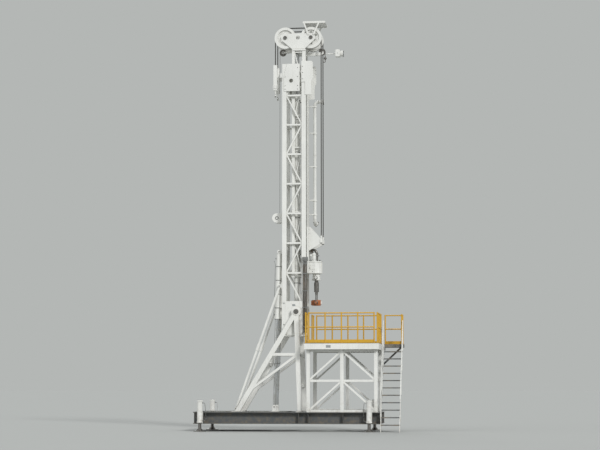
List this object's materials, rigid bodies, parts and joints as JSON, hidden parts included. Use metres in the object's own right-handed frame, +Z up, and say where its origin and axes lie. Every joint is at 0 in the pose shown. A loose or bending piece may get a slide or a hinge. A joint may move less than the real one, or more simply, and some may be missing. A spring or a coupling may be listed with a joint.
{
  "type": "drilling rig",
  "caption": "Telescoping open-frame mast with a crown of sheaves, hoist ropes and a top drive, pinned in A-frames on a jacked skid with a raised drill floor.",
  "frame": {"origin": "on the ground, at the middle of the footprint", "axes": "+Z up along the mast, +X to the well side with the drill floor and stair, +Y across the rig"},
  "size_m": [7.12, 2.8998, 14.33],
  "materials": {
    "white_paint": "weathered gloss",
    "grey_paint": "weathered satin",
    "yellow_paint": "weathered gloss",
    "chequer_plate": "worn satin",
    "bright_steel": "ground and chromed",
    "bare_steel": "machined, dulled",
    "wire_rope": "greased wire",
    "rusty_steel": "oiled and rusted",
    "hose_rubber": "dusty, faded"
  },
  "bodies": {
    "root": {"skid_runners": "grey_paint", "skid_cross_beams": "grey_paint", "rear_deck": "chequer_plate", "jack_barrels": "white_paint", "jack_feet": "bare_steel", "a_frame_near": "white_paint", "a_frame_far": "white_paint", "a_frame_ties": "white_paint", "pivot_pins": "bare_steel", "clevises": "white_paint", "raising_barrels": "white_paint", "raising_rods": "bright_steel", "back_struts": "white_paint", "floor_legs_near": "white_paint", "floor_legs_far": "white_paint", "floor_frame": "white_paint", "floor_plate": "chequer_plate", "slip_bowl": "bare_steel", "floor_handrails": "yellow_paint", "stair_landing": "chequer_plate", "stair_stringers": "white_paint", "stair_treads": "chequer_plate", "mast_side_near": "white_paint", "mast_side_far": "white_paint", "mast_rear_bracing": "white_paint", "mast_foot": "white_paint", "mast_head": "white_paint", "hoist_barrels": "white_paint", "rope_anchors": "white_paint", "rear_hoist_ropes": "wire_rope", "standpipe": "white_paint", "standpipe_clamps": "white_paint", "hydraulic_lines": "hose_rubber", "tugger_winch": "white_paint", "tugger_line": "wire_rope"},
    "inner_mast": {"inner_side_near": "white_paint", "inner_side_far": "white_paint", "inner_ties": "white_paint", "hoist_rods": "bright_steel", "crown_frame": "white_paint", "sheave_shafts": "bare_steel", "crown_hood": "white_paint", "crown_ropes": "wire_rope", "front_hoist_ropes": "wire_rope", "crown_jib": "white_paint", "jib_sheaves": "bare_steel", "tugger_hook": "bare_steel", "floodlight": "white_paint"},
    "sheave_front_near": {"sheave_front_near": "white_paint"},
    "sheave_front_far": {"sheave_front_far": "white_paint"},
    "sheave_rear_near": {"sheave_rear_near": "white_paint"},
    "sheave_rear_far": {"sheave_rear_far": "white_paint"},
    "carriage": {"carriage_frame": "white_paint", "gearbox": "white_paint", "drive_motors": "white_paint", "swivel": "bare_steel", "pipe_handler": "white_paint", "elevator_links": "bare_steel", "elevator": "rusty_steel"},
    "quill": {"quill": "bare_steel"}
  },
  "joints": [
    {"name": "mast_extend", "type": "slide", "parent": "root", "child": "inner_mast", "axis": [0, 0, 1], "range_m": [0, 5.5], "deforming": ["rear_hoist_ropes", "tugger_line"]},
    {"name": "head_travel", "type": "slide", "parent": "inner_mast", "child": "carriage", "axis": [0, 0, 1], "range_m": [0, 5.5], "deforming": ["front_hoist_ropes"]},
    {"name": "quill_spin", "type": "hinge", "parent": "carriage", "child": "quill", "pos_m": [0.58, 0, 5.2], "axis": [0, 0, 1], "continuous": true},
    {"name": "sheave_front_near_turn", "type": "hinge", "parent": "inner_mast", "child": "sheave_front_near", "pos_m": [0.43, -0.3, 13.76], "axis": [0, -1, 0], "range_deg": [0, 888]},
    {"name": "sheave_front_far_turn", "type": "hinge", "parent": "inner_mast", "child": "sheave_front_far", "pos_m": [0.43, 0.3, 13.76], "axis": [0, -1, 0], "range_deg": [0, 888]},
    {"name": "sheave_rear_near_turn", "type": "hinge", "parent": "inner_mast", "child": "sheave_rear_near", "pos_m": [-0.48, -0.3, 13.76], "axis": [0, -1, 0], "range_deg": [0, 888]},
    {"name": "sheave_rear_far_turn", "type": "hinge", "parent": "inner_mast", "child": "sheave_rear_far", "pos_m": [-0.48, 0.3, 13.76], "axis": [0, -1, 0], "range_deg": [0, 888]}
  ],
  "couplings": [
    {"joint": "head_travel", "follows": "mast_extend", "ratio": 1},
    {"joint": "sheave_front_near_turn", "follows": "mast_extend", "rad_per_m": 2.8169},
    {"joint": "sheave_front_far_turn", "follows": "mast_extend", "rad_per_m": 2.8169},
    {"joint": "sheave_rear_near_turn", "follows": "mast_extend", "rad_per_m": 2.8169},
    {"joint": "sheave_rear_far_turn", "follows": "mast_extend", "rad_per_m": 2.8169}
  ]
}
